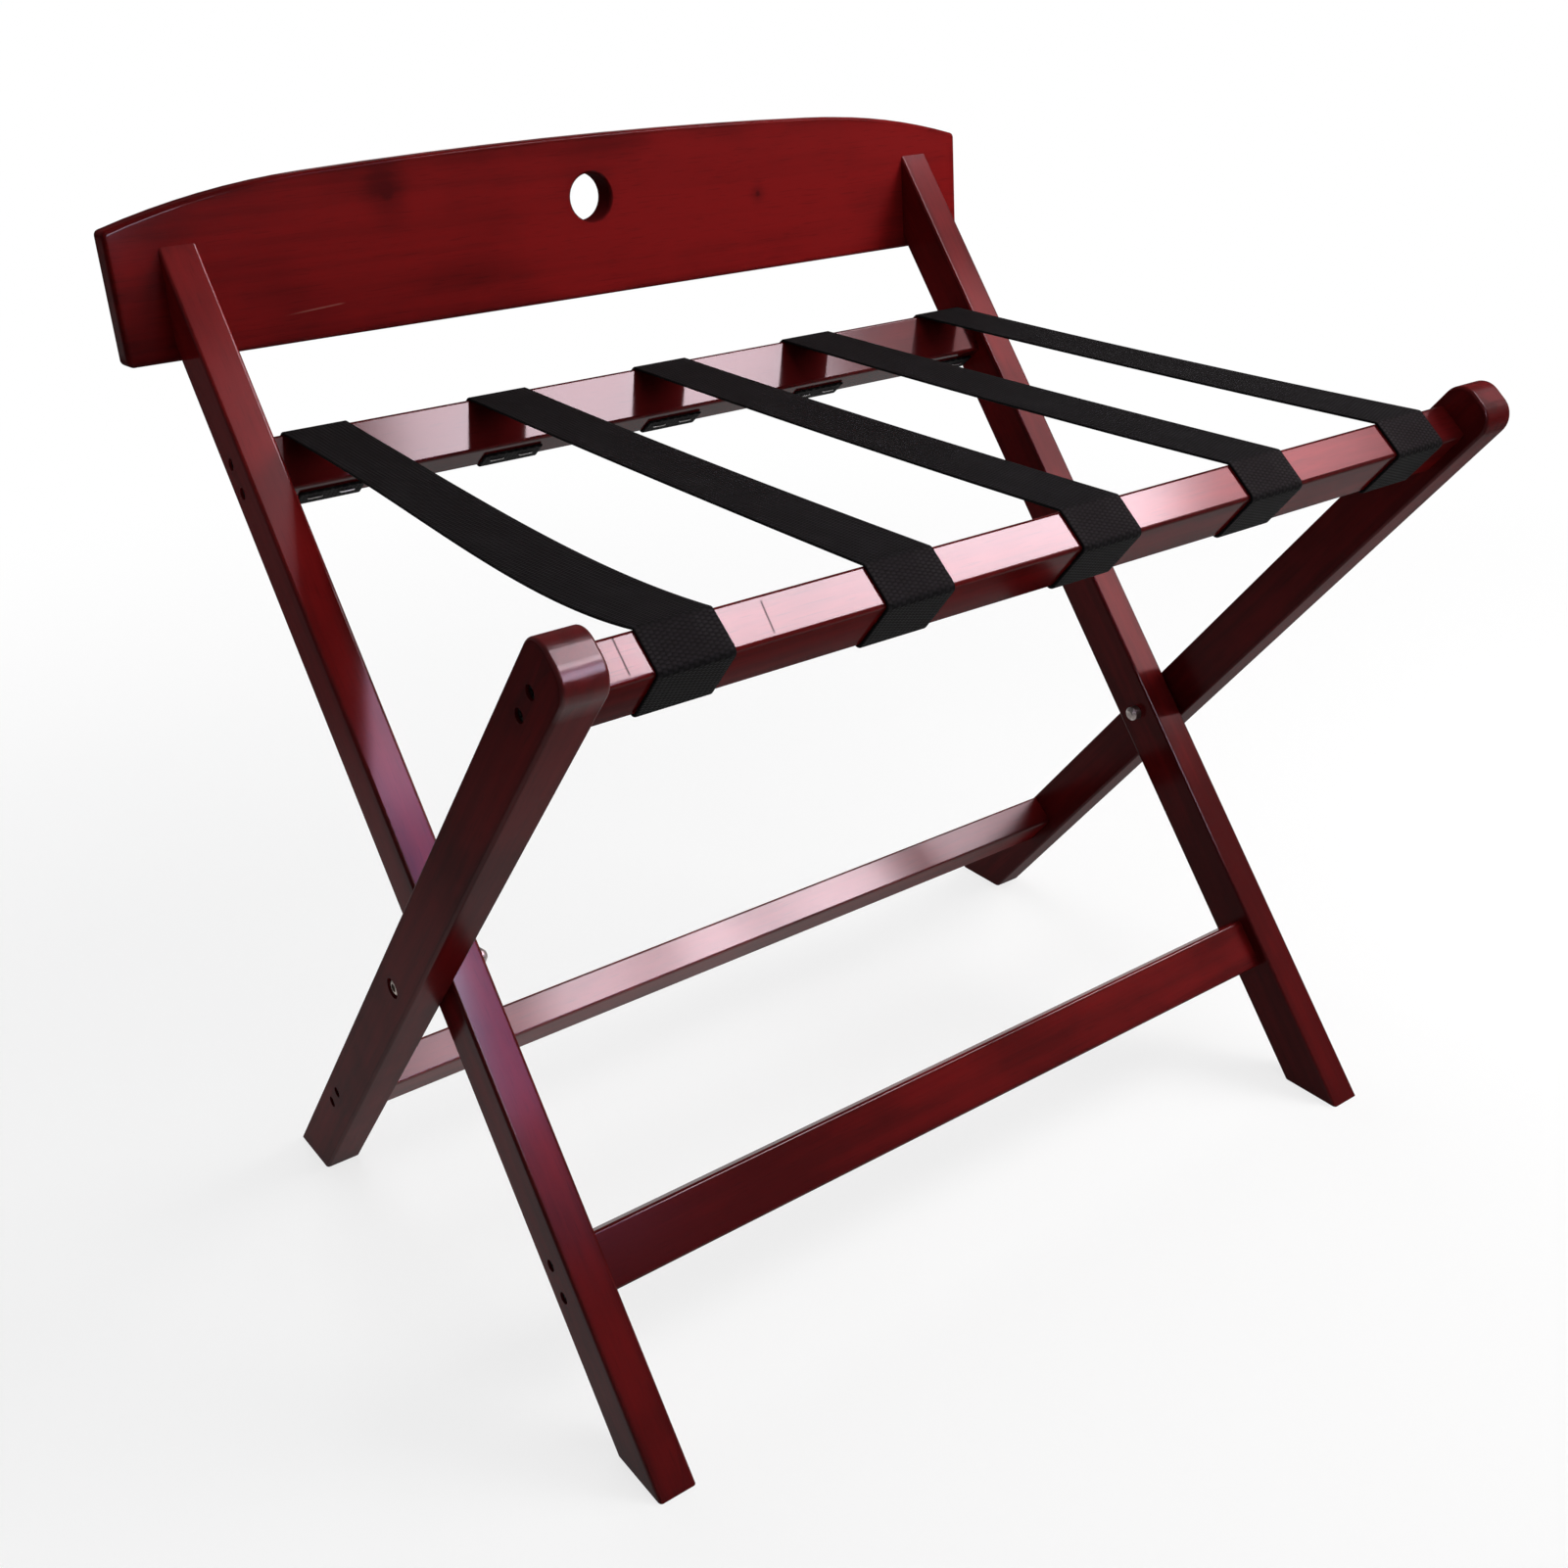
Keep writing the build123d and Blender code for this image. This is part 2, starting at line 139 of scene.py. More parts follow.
class RackTimber(bpy.types.PropertyGroup):
    """Lacquered timber of the legs, rails and backboard."""

    stain: tint("Stain", "Red of the stained timber", (0.205, 0.0085, 0.009))
    # Deep stain of streaks and knots, and also the colour of the painted shade on the timber and in the
    # hanging hole
    deep_stain_and_shade: tint("Deep stain", "Where the stain gathers, as along edges", (0.07, 0.0045, 0.005))
    pore: tint("Pores", "Fine dark pores of the wood", (0.022, 0.003, 0.0035))
    scratch: tint("Scratch", "Where the lacquer is scratched", (0.32, 0.12, 0.10))
    # The timber is darker within this distance of an edge
    dark_edge: size("Dark edge", "How far from an edge the stain is deeper", 9)
    coat_roughness: ratio("Lacquer roughness", "How far the lacquer blurs reflections", 0.12)
    satin: ratio("Satin", "Added roughness of satin lacquer", 0.16)
    head: size("Head", "Polished length of the left short leg's head", 22)
    head_gloss: ratio("Head gloss", "Gloss of the left short leg's head", 1.45, most=3.0)
    panel: size("Panel", "Length of the panels that flat faces are cut into", 25)


class RackWebbing(bpy.types.PropertyGroup):
    """Woven straps."""

    colour: tint("Yarn", "Black of the yarn", (0.0024, 0.0024, 0.0025))
    # Painted highlight on the yarn tops, partly real wear
    worn_and_lit_colour: tint("Yarn tops", "Where the yarn catches the light", (0.014, 0.014, 0.0142))
    width: size("Width", "Width of the webbing", 40)
    thickness: size("Thickness", "Thickness of the webbing", 1.6)
    lay: size("Lay", "Room between webbing and timber", 0.1)
    tail: size("Tail", "Stapled length under each rail", 15)
    bend: size("Bend", "Round edge of the rails it bends over", 2)
    grip: size("Grip", "Length beside a rail that moves with it alone", 20)
    slack: size("Slack", "Sag of a taut strap", 1.2)
    lean: ratio("Lean", "Extra sag on one side of a taut strap", 0.3)
    loose_slack: size("Loose slack", "Sag of the loose strap at the left", 6)
    turn: size("Turn", "How far the loose strap's right edge turns down", 4)
    rib: size("Rib", "Pitch of the cross ribs", 2.2)
    column: size("Column", "Pitch of the yarn columns", 2.6)


class RackFasteners(bpy.types.PropertyGroup):
    """Screws, staples and pivot hardware."""

    screw_head: size("Screw head", "Diameter of a rail screw's head", 7)
    screw_head_height: size("Screw head height", "Height of a rail screw's head", 4)
    screw_length: size("Screw length", "Length of a rail screw's shank", 48)
    board_head: size("Board screw head", "Diameter of a backboard screw's head", 8.5)
    board_head_height: size("Board screw head height", "Height of a backboard screw's head", 3.2)
    board_length: size("Board screw length", "Length of a backboard screw's shank", 26.4)
    shank: size("Shank", "Diameter of the screws' shanks", 4.5)
    screw_slot: size("Cross slot", "Width of the cross slot", 1.1)
    staple_crown: size("Staple crown", "Width of a staple", 9)
    staple_leg: size("Staple leg", "Length of a staple's legs", 6)
    staple_wire: size("Staple wire", "Wire diameter", 0.9)
    nut_bevel: size("Nut bevel", "Bevel of the sleeve nuts' edges", 1.2)
    bevel: size("Bevel", "Bevel of the other pivot pieces' edges", 0.25)
    seed: IntProperty(name="Seed", description="Fixes how the screws' slots lie", default=4)


class RackStage(bpy.types.PropertyGroup):
    """Camera, floor and light."""

    eye: FloatVectorProperty(
        name="Eye", description="Place of the camera", subtype="TRANSLATION", unit="LENGTH",
        default=(-0.6078, -0.8084, 0.7454)
    )
    heading: angle("Heading", "From +Y towards +X", 35.84)
    pitch: angle("Pitch", "Above the horizon", -26.64)
    roll: angle("Roll", "Turn about the line of sight", -1.34)
    lens: FloatProperty(name="Lens", description="Focal length", unit="CAMERA", default=40.36)
    floor_colour: tint("Paper", "White paper under the rack", (0.88, 0.88, 0.88))
    studio_colour: tint("Studio floor", "Floor beside the paper", (0.34, 0.34, 0.34))
    room_colour: tint("Room", "Light from all round", (0.17, 0.17, 0.175))


# Node trees


class Field:
    """An output socket for arithmetic: an expression on fields adds its Math nodes."""

    def __init__(self, tree, socket):
        self.tree = tree
        self.socket = socket

    def math(self, operation, *others):
        values = dict(enumerate((self, *others)))
        return self.tree.node("ShaderNodeMath", {"operation": operation}, values)

    def math_after(self, operation, first):
        return self.tree.node("ShaderNodeMath", {"operation": operation}, {0: first, 1: self})

    __add__ = __radd__ = partialmethod(math, "ADD")
    __mul__ = __rmul__ = partialmethod(math, "MULTIPLY")
    __sub__ = partialmethod(math, "SUBTRACT")
    __rsub__ = partialmethod(math_after, "SUBTRACT")
    __truediv__ = partialmethod(math, "DIVIDE")
    __rtruediv__ = partialmethod(math_after, "DIVIDE")
    __pow__ = partialmethod(math, "POWER")
    __rpow__ = partialmethod(math_after, "POWER")
    __abs__ = partialmethod(math, "ABSOLUTE")
    sine = partialmethod(math, "SINE")
    floor = partialmethod(math, "FLOOR")
    or_more = partialmethod(math, "MAXIMUM")

    def over(self, low, high, to_low=0.0, to_high=1.0):
        """This value carried smoothly from low and high onto to_low and to_high."""
        sockets = {"Value": self, "From Min": low, "From Max": high, "To Min": to_low, "To Max": to_high}
        return self.tree.node("ShaderNodeMapRange", {"interpolation_type": "SMOOTHSTEP"}, sockets)


class Tree:
    """A node tree being written: node() adds any node and returns one of its outputs."""

    def __init__(self, tree):
        self.tree = tree

    def node(self, kind, settings=None, inputs=None, output=0):
        made = self.tree.nodes.new(kind)
        for key, value in (settings or {}).items():
            setattr(made, key, value)
        for key, value in (inputs or {}).items():
            socket = made.inputs[key] if isinstance(key, int) else self.input(made, key)
            fields = value if isinstance(value, list) else [value]
            for field in fields:
                if isinstance(field, Field):
                    self.tree.links.new(field.socket, socket)
                else:
                    socket.default_value = field
        return Field(self, made.outputs[output] if made.outputs else None)

    @staticmethod
    def input(made, key):
        return next(s for s in made.inputs if key in (s.identifier, s.name))

    def vector(self, x, y, z):
        return self.node("ShaderNodeCombineXYZ", inputs={0: x, 1: y, 2: z})


class Finish(Tree):
    """A material being written."""

    def __init__(self, name):
        self.material = bpy.data.materials.new(name)
        self.material.use_nodes = True
        self.material.node_tree.nodes.clear()
        super().__init__(self.material.node_tree)

    def attribute(self, name, output="Fac"):
        return self.node("ShaderNodeAttribute", {"attribute_name": name}, output=output)

    def parts(self, vector):
        split = self.node("ShaderNodeSeparateXYZ", inputs={0: vector})
        return [Field(self, socket) for socket in split.socket.node.outputs]

    def noise(self, vector, waves, detail=3.0, roughness=0.5, distortion=0.0):
        """Noise with a number of waves per metre in each direction."""
        stretched = self.node("ShaderNodeVectorMath", {"operation": "MULTIPLY"}, {0: vector, 1: waves})
        sockets = {"Vector": stretched, "Scale": 1.0, "Detail": detail}
        sockets |= {"Roughness": roughness, "Distortion": distortion}
        return self.node("ShaderNodeTexNoise", inputs=sockets)

    def mix(self, share, first, second):
        first, second = (c if isinstance(c, Field) else (*c, 1.0) for c in (first, second))
        sockets = {"Factor_Float": share, "A_Color": first, "B_Color": second}
        return self.node("ShaderNodeMix", {"data_type": "RGBA"}, sockets, output=2)

    def bump(self, height, distance, strength):
        sockets = {"Height": height, "Distance": distance, "Strength": strength}
        return self.node("ShaderNodeBump", inputs=sockets)

    def surface(self, shader):
        self.node("ShaderNodeOutputMaterial", inputs={"Surface": shader})
        return self.material

    def principled(self, **sockets):
        named = {name.replace("_", " "): value for name, value in sockets.items()}
        return self.surface(self.node("ShaderNodeBsdfPrincipled", inputs=named))


# Finishes


def from_point(x, y):
    """Distance from a point x along and y across."""
    return (x ** 2 + y ** 2) ** 0.5


def lacquered_timber(name, knots=(), holes=(), scores=(), scratches=(), satin=0.0):
    """Red stained wood under clear lacquer. Marks lie at places along, across and through the piece."""
    timber = bpy.context.scene.rack_timber
    f = Finish(name)
    grain = f.attribute("grain", "Vector")
    along, across, through = f.parts(f.attribute("place", "Vector"))
    rim = f.attribute("rim")
    streak = f.noise(grain, (5.0, 150.0, 150.0), detail=4.0, roughness=0.62)
    figure = f.noise(grain, (2.2, 26.0, 26.0), detail=2.0, distortion=0.6)
    blotch = f.noise(grain, (11.0, 19.0, 19.0))
    pores = f.noise(grain, (55.0, 1300.0, 1300.0), detail=1.0).over(0.60, 0.74)
    dent = f.noise(grain, (240.0, 300.0, 300.0), detail=2.0)

    depth = 0.20 * streak.over(0.35, 0.72) + 0.22 * figure.over(0.38, 0.70) + 0.30 * blotch.over(0.40, 0.72)
    # Darker within the dark edge distance of a rounded edge, and darker still on the rounded edges
    # themselves
    depth = depth + 0.12 * (1 - rim.over(0.0, timber.dark_edge)) + 0.15 * (1 - rim.over(0.0, MM))
    # Painted shade: a deeper stain along each piece that stands in for the shade on it, partly the piece's
    # own tone
    depth = depth + f.attribute("tone")
    coat = (0.40 - 0.10 * blotch) * f.attribute("gloss")
    for at, up, half_width, half_height in knots:
        reach = from_point((along - at) / half_width, (across - up) / half_height)
        core = 1 - reach.over(0.02, 0.28)
        depth = depth + 0.5 * (1 - reach.over(0.0, 1.1)) + 0.4 * core
    # Painted shade inside the hanging hole: its wall takes the full deep stain and little gloss, partly as
    # end grain, partly as the shade in it
    for at, up, radius in holes:
        wall = 1 - from_point(along - at, across - up).over(radius, radius + MM)
        depth = depth + wall
        coat = coat * (1 - 0.85 * wall)

    # Mixes towards the deep colour: real stain in streaks, figure, blotches and knots, darker edges, and
    # painted shade from the tone and the hole wall
    colour = f.mix(depth.over(0.05, 1.05), timber.stain, timber.deep_stain_and_shade)
    colour = f.mix(pores * 0.3, colour, timber.pore)
    for line in (score_line(along, across, through, *score) for score in scores):
        colour = f.mix(line * 0.8, colour, timber.pore)
        coat = coat * (1 - 0.75 * line)
    for line in (scratch_line(along, across, *scratch) for scratch in scratches):
        colour = f.mix(line * 0.5, colour, timber.scratch)
        coat = coat * (1 - 0.6 * line)
    return f.principled(
        Base_Color=colour,
        Roughness=0.42 + 0.12 * streak,
        Specular_IOR_Level=0.0,
        Coat_Weight=coat,
        Coat_Roughness=timber.coat_roughness + satin,
        Coat_IOR=1.55 if satin else 1.45,
        Normal=f.bump(streak * 0.25 + dent, distance=0.12 * MM, strength=0.35),
    )


def score_line(along, across, through, start, end, low, high, half_width=0.9 * MM, top=(14 * MM, 16 * MM)):
    """1 on a line cut across a rail's top, from start on its low side to end on its high side."""
    lean = (end - start) / (high - low)
    line = 1 - abs(along - start - (through - low) * lean).over(0.0, half_width)
    line = line * through.over(low - MM, low + MM) * (1 - through.over(high - MM, high + MM))
    return line * across.over(*top)


def scratch_line(along, across, start, end, up, rise, half_width=0.8 * MM, fade_in=20 * MM, fade_out=6 * MM):
    """1 on a scratch along a piece, which rises and fades at both ends."""
    line = 1 - abs(across - up - (along - start) * (rise / (end - start))).over(0.0, half_width)
    return line * along.over(start, start + fade_in) * (1 - along.over(end - fade_out, end))


def woven_webbing():
    """Black webbing: cross ribs on yarn columns that step by half a rib."""
    webbing = bpy.context.scene.rack_webbing
    f = Finish("black webbing")
    across, along, _ = f.parts(f.node("ShaderNodeUVMap", {"uv_map": "weave"}))
    column = across / webbing.column
    pairs = column.floor() * 0.5
    step = pairs - pairs.floor()
    rib = abs(((along / webbing.rib + step) * pi).sine())
    ridge = abs((column * pi).sine())
    height = rib * (0.35 + 0.65 * ridge)
    place = f.vector(across, along, 0.0)
    fuzz = f.noise(place, (900.0, 900.0, 1.0), detail=2.0)
    rubbed = f.noise(place, (60.0, 25.0, 1.0)).over(0.42, 0.72)
    # Painted highlight: the rib tops take the lighter yarn colour as if catching the light, more so where
    # the yarn is rubbed
    lit = height * (0.45 + 0.55 * rubbed) * (0.7 + 0.6 * fuzz)
    return f.principled(
        Base_Color=f.mix(lit, webbing.colour, webbing.worn_and_lit_colour),
        Roughness=0.78 - 0.16 * height,
        Specular_IOR_Level=0.05,
        Sheen_Weight=0.01,
        Sheen_Roughness=0.5,
        Normal=f.bump(height + 0.3 * fuzz, distance=0.35 * MM, strength=0.8),
    )


def metal(name, colour, dull, roughness):
    """Plated steel with fine turning marks and dull patches."""
    f = Finish(name)
    place = f.node("ShaderNodeTexCoord", output="Object")
    marks = f.noise(place, (1400.0, 300.0, 300.0), detail=2.0)
    patch = f.noise(place, (180.0, 180.0, 180.0)).over(0.38, 0.68)
    return f.principled(
        Base_Color=f.mix(patch * 0.6, colour, dull),
        Metallic=1.0,
        Roughness=roughness + 0.14 * patch + 0.06 * marks,
        Normal=f.bump(marks, distance=0.03 * MM, strength=0.4),
    )


def black_nylon():
    """Moulded nylon with a faint mottle."""
    f = Finish("black nylon")
    place = f.node("ShaderNodeTexCoord", output="Object")
    mottle = f.noise(place, (420.0, 420.0, 420.0))
    return f.principled(
        Base_Color=f.mix(mottle, (0.008, 0.008, 0.008), (0.02, 0.02, 0.02)),
        Roughness=0.45 + 0.2 * mottle,
        Normal=f.bump(mottle, distance=0.05 * MM, strength=0.4),
    )


# Meshes


def add_object(name, data):
    """A named object in the scene, at the origin."""
    made = bpy.data.objects.new(name, data)
    bpy.context.scene.collection.objects.link(made)
    return made


def add_piece(name, mesh, material, body=None):
    """A named object with one material, riding on a body where one is given."""
    piece = add_object(name, mesh)
    mesh.materials.clear()
    mesh.materials.append(material)
    if body:
        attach(piece, body)
    return piece


def merged(node):
    """A copy of a node's mesh with its points joined."""
    shape = bmesh.new()
    shape.from_mesh(frame["nodes"][node].data)
    bmesh.ops.remove_doubles(shape, verts=shape.verts, dist=0.005 * MM)
    return shape


def places_of(points):
    """Where the points of a mesh lie, one to a row."""
    return np.array([list(point.co) for point in points])


def middle_x(node):
    """Middle of a node's box between left and right."""
    low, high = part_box(node)
    return (low[0] + high[0]) / 2


def box_axes(shape, parallel=0.99999, square=0.02):
    """The three square directions of a sawn piece, longest first, from the area that faces each way."""
    normals = np.array([face.normal for face in shape.faces])
    areas = np.array([face.calc_area() for face in shape.faces])
    points = places_of(shape.verts)
    facing = [areas[abs(normals @ normal) > parallel].sum() for normal in normals]
    first = normals[int(np.argmax(facing))]
    beside = abs(normals @ first) < square
    second = normals[int(np.argmax(np.where(beside, facing, 0)))]
    axes = [Vector(axis) for axis in (first, second, np.cross(first, second))]
    axes = [axis if max(axis, key=abs) > 0 else -axis for axis in axes]
    return sorted(axes, key=lambda axis: -np.ptp(points @ np.array(axis)))


def smooth_mesh(name, shape, sharp=radians(38), bevel=0.0):
    """The shape as a mesh that shades smoothly round its edges, with its corners eased where a bevel is
    given.
    """
    for face in shape.faces:
        face.smooth = True
    for edge in shape.edges:
        edge.smooth = edge.calc_face_angle(pi) < sharp
    mesh = bpy.data.meshes.new(name)
    shape.to_mesh(mesh)
    shape.free()
    holder = add_object(name, mesh)
    if bevel:
        eased = holder.modifiers.new("Eased corners", "BEVEL")
        eased.width = bevel
        eased.segments = 2
        eased.limit_method = "ANGLE"
        eased.angle_limit = sharp
        eased.harden_normals = True
    weighted = holder.modifiers.new("Flat faces", "WEIGHTED_NORMAL")
    weighted.keep_sharp = True
    weighted.weight = 90
    return as_mesh(holder, name)


def as_mesh(holder, name):
    """The evaluated mesh of a holder, which is then removed."""
    graph = bpy.context.evaluated_depsgraph_get()
    mesh = bpy.data.meshes.new_from_object(holder.evaluated_get(graph), depsgraph=graph)
    source = holder.data
    bpy.data.objects.remove(holder)
    bpy.data.meshes.remove(source)
    mesh.name = name
    return mesh


def write_values(mesh, name, values):
    """Gives each point of a mesh a number or a vector for materials and trees."""
    values = np.asarray(values, np.float32)
    kind, key = ("FLOAT_VECTOR", "vector") if values.ndim == 2 else ("FLOAT", "value")
    mesh.attributes.new(name, kind, "POINT").data.foreach_set(key, values.ravel())


def join_rings(shape, rings):
    """Faces between each ring of points and the next."""
    faces = []
    for ring, following in zip(rings, rings[1:]):
        for j in range(len(ring)):
            faces.append(shape.faces.new((ring[j - 1], ring[j], following[j], following[j - 1])))
    return faces


# Timber


def cut_panels(shape, axes, steps):
    """Cuts flat faces into panels, so that values on the points follow the surface."""
    for axis, step in zip(axes, steps):
        reach = [point.co.dot(axis) for point in shape.verts]
        low, high = min(reach), max(reach)
        count = ceil((high - low) / step)
        for i in range(1, count):
            place = axis * (low + (high - low) * i / count)
            everything = shape.verts[:] + shape.edges[:] + shape.faces[:]
            bmesh.ops.bisect_plane(shape, geom=everything, plane_co=place, plane_no=axis, dist=0.01 * MM)


def edge_distance(mesh, axes, flat=0.998):
    """Each point's distance to the nearest rounded edge."""
    cosines = [max(abs(face.normal.dot(axis)) for axis in axes) for face in mesh.polygons]
    on_edge = {i for face, cosine in zip(mesh.polygons, cosines) if cosine <= flat for i in face.vertices}
    tree = KDTree(len(on_edge))
    for i in on_edge:
        tree.insert(mesh.vertices[i].co, i)
    tree.balance()
    return np.array([tree.find(vertex.co)[2] for vertex in mesh.vertices])


def write_finish(mesh, node, place, rim, flush=0.1 * MM):
    """Writes a timber's painted shade, a deeper stain that is partly its own tone, and its gloss on its
    points.
    """
    timber = bpy.context.scene.rack_timber
    shades_and_tones, glosses, side_share, edge_share = WOODS[node]
    along, through = place[:, 0], abs(place[:, 2])
    stations = along.min(), 0, along.max()
    on_side = through > through.max() - flush
    gloss = np.interp(along, stations, glosses)
    gloss = gloss * np.where(on_side, side_share, np.where(rim > 0, 1.0, edge_share))
    if node == "short_leg_left":
        on_head = along > along.max() - timber.head
        gloss = np.where(on_head & ~on_side, timber.head_gloss, gloss)
    write_values(mesh, "tone", np.interp(along, stations, shades_and_tones))
    write_values(mesh, "gloss", gloss)


def timber_piece(node, number, material):
    """A node's timber with smooth edges, and its grain running along its length."""
    timber = bpy.context.scene.rack_timber
    shape = merged(node)
    axes = box_axes(shape)
    cut_panels(shape, axes, (timber.panel, timber.panel / 3, timber.panel / 3))
    mesh = smooth_mesh(f"{node}_timber", shape)
    turn = np.array([list(axis) for axis in axes]).T
    points = places_of(mesh.vertices)
    place = (points - (points.min(0) + points.max(0)) / 2) @ turn
    rim = edge_distance(mesh, axes)
    write_values(mesh, "place", place)
    write_values(mesh, "grain", place + GRAIN_STEP * number)
    write_values(mesh, "rim", rim)
    write_finish(mesh, node, place, rim)
    piece = add_piece(mesh.name, mesh, material, BODY_OF[node])
    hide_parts(node)


class RACK_OT_timber(bpy.types.Operator):
    """Gives the legs, rails and backboard smooth edges, grain and lacquer"""

    bl_idname = "rack.timber"
    bl_label = "Timber"

    def execute(self, context):
        plain = lacquered_timber("red lacquered timber")
        knotted = lacquered_timber(
            "red lacquered board",
            knots=[(-142 * MM, 30 * MM, 20 * MM, 27 * MM), (133 * MM, 1 * MM, 9 * MM, 10 * MM)],
            holes=[(0.0, 12 * MM, 15.2 * MM)],
            scratches=[(-220 * MM, -178 * MM, -33.6 * MM, 2.6 * MM)],
        )
        long_score = (-199.2 * MM, -197 * MM, -8.4 * MM, 8 * MM)
        end_score = (-272.1 * MM, -270.9 * MM, -8.6 * MM, 10.3 * MM)
        scored = lacquered_timber("red lacquered front rail", scores=[long_score, end_score])
        satin = lacquered_timber("red satin timber", satin=context.scene.rack_timber.satin)
        special = {"backboard": knotted, "front_rail": scored, "back_stretcher": satin}
        special |= {f"short_leg_{side}": satin for side in SIDES}
        for number, node in enumerate([*LEGS, *RAILS, "backboard"]):
            timber_piece(node, number, special.get(node, plain))
        return {"FINISHED"}


# Straps


def rounded(points, radius, step=radians(13)):
    """An open line's first point, its corners as arcs of points, and its last point."""
    runs = [[Vector(points[0])]]
    for before, corner, after in zip(points, points[1:], points[2:]):
        back, on = (before - corner).normalized(), (after - corner).normalized()
        turn = pi - back.angle(on)
        centre = corner + (back + on).normalized() * radius / cos(turn / 2)
        first = corner + back * radius * tan(turn / 2) - centre
        last = corner + on * radius * tan(turn / 2) - centre
        count = max(2, ceil(turn / step))
        turned = [first.slerp(last, i / count).normalized() for i in range(count + 1)]
        runs.append([centre + out * radius for out in turned])
    return runs + [[Vector(points[-1])]]


def divided(line, step):
    """The line with points added, so that no two are further apart than the step."""
    close = [line[0]]
    for start, end in zip(line, line[1:]):
        count = max(1, ceil((end - start).length / step))
        close += [start.lerp(end, (i + 1) / count) for i in range(count)]
    return close


def rail_section(rail):
    """A rail's centre, its directions up the legs and across them, and its half sizes along those."""
    shape = merged(rail)
    _, deep, thin = box_axes(shape)
    points = places_of(shape.verts)
    shape.free()
    halves = [np.ptp(points @ np.array(axis)) / 2 for axis in (deep, thin)]
    centre = Vector((points.min(0) + points.max(0)) / 2)
    return centre, deep * np.sign(deep.z), thin * np.sign(thin.z), halves


def wrap_corners(rail):
    """Corners of a strap's middle line round a rail, from its tail to the top corner where it leaves."""
    webbing = bpy.context.scene.rack_webbing
    off = webbing.lay + webbing.thickness / 2
    centre, deep, thin, (half_depth, half_thickness) = rail_section(rail)
    bend = webbing.bend + off
    low, high, far = -half_depth - off, half_depth + off, -half_thickness - off
    turn = half_thickness - webbing.bend + bend * tan(Vector((0, 0, 1)).angle(deep) / 2)
    corners = [(low, far + webbing.tail), (low, far), (high, far), (high, turn)]
    return [Vector((0, centre.y, centre.z)) + deep * a + thin * b for a, b in corners]


def strap_line(front, back, wrap_step=4 * MM, span_step=6 * MM):
    """A strap's middle line in Y and Z, each point's share of the open span, and the span's ends."""
    webbing = bpy.context.scene.rack_webbing
    bend = webbing.bend + webbing.lay + webbing.thickness / 2
    runs = rounded(front + back[::-1], bend)
    near = divided([point for run in runs[:len(front)] for point in run], wrap_step)
    far = divided([point for run in runs[len(front):] for point in run], wrap_step)
    span = divided([near[-1], far[0]], span_step)[1:-1]
    shares = [(i + 1) / (len(span) + 1) for i in range(len(span))]
    shares = [0.0] * len(near) + shares + [1.0] * len(far)
    return near + span + far, shares, (near[-1], far[0])


def strip_profile(width, thickness, panels=10, turns=4):
    """Section of webbing with round edges, as places across it and through it."""
    half, round_edge = width / 2 - thickness / 2, thickness / 2
    top = [(half * (2 * i / panels - 1), round_edge) for i in range(panels)]
    angles = np.linspace(pi / 2, -pi / 2, turns + 1)[:-1]
    right = [(half + round_edge * cos(a), round_edge * sin(a)) for a in angles]
    upper = top + right
    return upper + [(-a, -b) for a, b in upper]


def even_sag(depth, lean):
    """A sag that is deepest halfway, and deeper on the side that the strap leans to."""
    return lambda share, side: depth * 4 * share * (1 - share) * (1 - lean * side)


def loose_sag(depth, turn, lean=0.35, fall=2.6):
    """A sag that is deepest near the front rail, with the right edge turned down halfway."""
    lowest = 1 / (1 + fall)
    full = lowest * (1 - lowest) ** fall

    def sag(share, side):
        slack = depth * share * (1 - share) ** fall / full
        return slack * (1 - lean * side) + turn * 2 * share * (1 - share) * (1 + side)

    return sag


def strap_mesh(name, line, shares, ends, sag):
    """A closed strip of webbing and its length. The sag gives the drop at a share of its span and a side."""
    webbing = bpy.context.scene.rack_webbing
    profile = strip_profile(webbing.width, webbing.thickness)
    middle = np.array([(point.y, point.z) for point in line])
    along = np.gradient(middle, axis=0)
    along /= np.linalg.norm(along, axis=1)[:, None]
    length = np.concatenate([[0], np.cumsum(np.linalg.norm(np.diff(middle, axis=0), axis=1))])
    shape = bmesh.new()
    weave = shape.loops.layers.uv.new("weave")
    rings, places = [], {}
    for i, share in enumerate(shares):
        ring = []
        for across, through in profile:
            side = 2 * across / webbing.width
            x = ends[0] + (ends[1] - ends[0]) * share + across
            y = middle[i][0] - along[i][1] * through
            z = middle[i][1] + along[i][0] * through - sag(share, side)
            point = shape.verts.new((x, y, z))
            places[point] = (across + webbing.width / 2, length[i])
            ring.append(point)
        rings.append(ring)
    join_rings(shape, rings)
    shape.faces.new(rings[0])
    shape.faces.new(rings[-1])
    bmesh.ops.recalc_face_normals(shape, faces=shape.faces)
    for face in shape.faces:
        for loop in face.loops:
            loop[weave].uv = places[loop.vert]
    return smooth_mesh(name, shape), float(length[-1])


class RACK_OT_straps(bpy.types.Operator):
    """Runs each strap from its tail under the front rail to its tail under the back rail"""

    bl_idname = "rack.straps"
    bl_label = "Straps"

    def execute(self, context):
        webbing = context.scene.rack_webbing
        material = woven_webbing()
        line, shares, (leaves, arrives) = strap_line(wrap_corners("front_rail"), wrap_corners("back_rail"))
        for number in STRAPS:
            nodes = [f"strap_{number}_{part}" for part in ("front_end", "span", "back_end")]
            ends = middle_x(nodes[0]), middle_x(nodes[2])
            sag = even_sag(webbing.slack, lean=webbing.lean * sin(LEAN_STEP * number))
            if number == LOOSE_STRAP:
                sag = loose_sag(webbing.loose_slack, webbing.turn)
            mesh, length = strap_mesh(f"strap_{number}_webbing", line, shares, ends, sag)
            piece = add_piece(mesh.name, mesh, material)
            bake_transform(piece)
            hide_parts(*nodes)
        return {"FINISHED"}


# Screws, staples and pivots


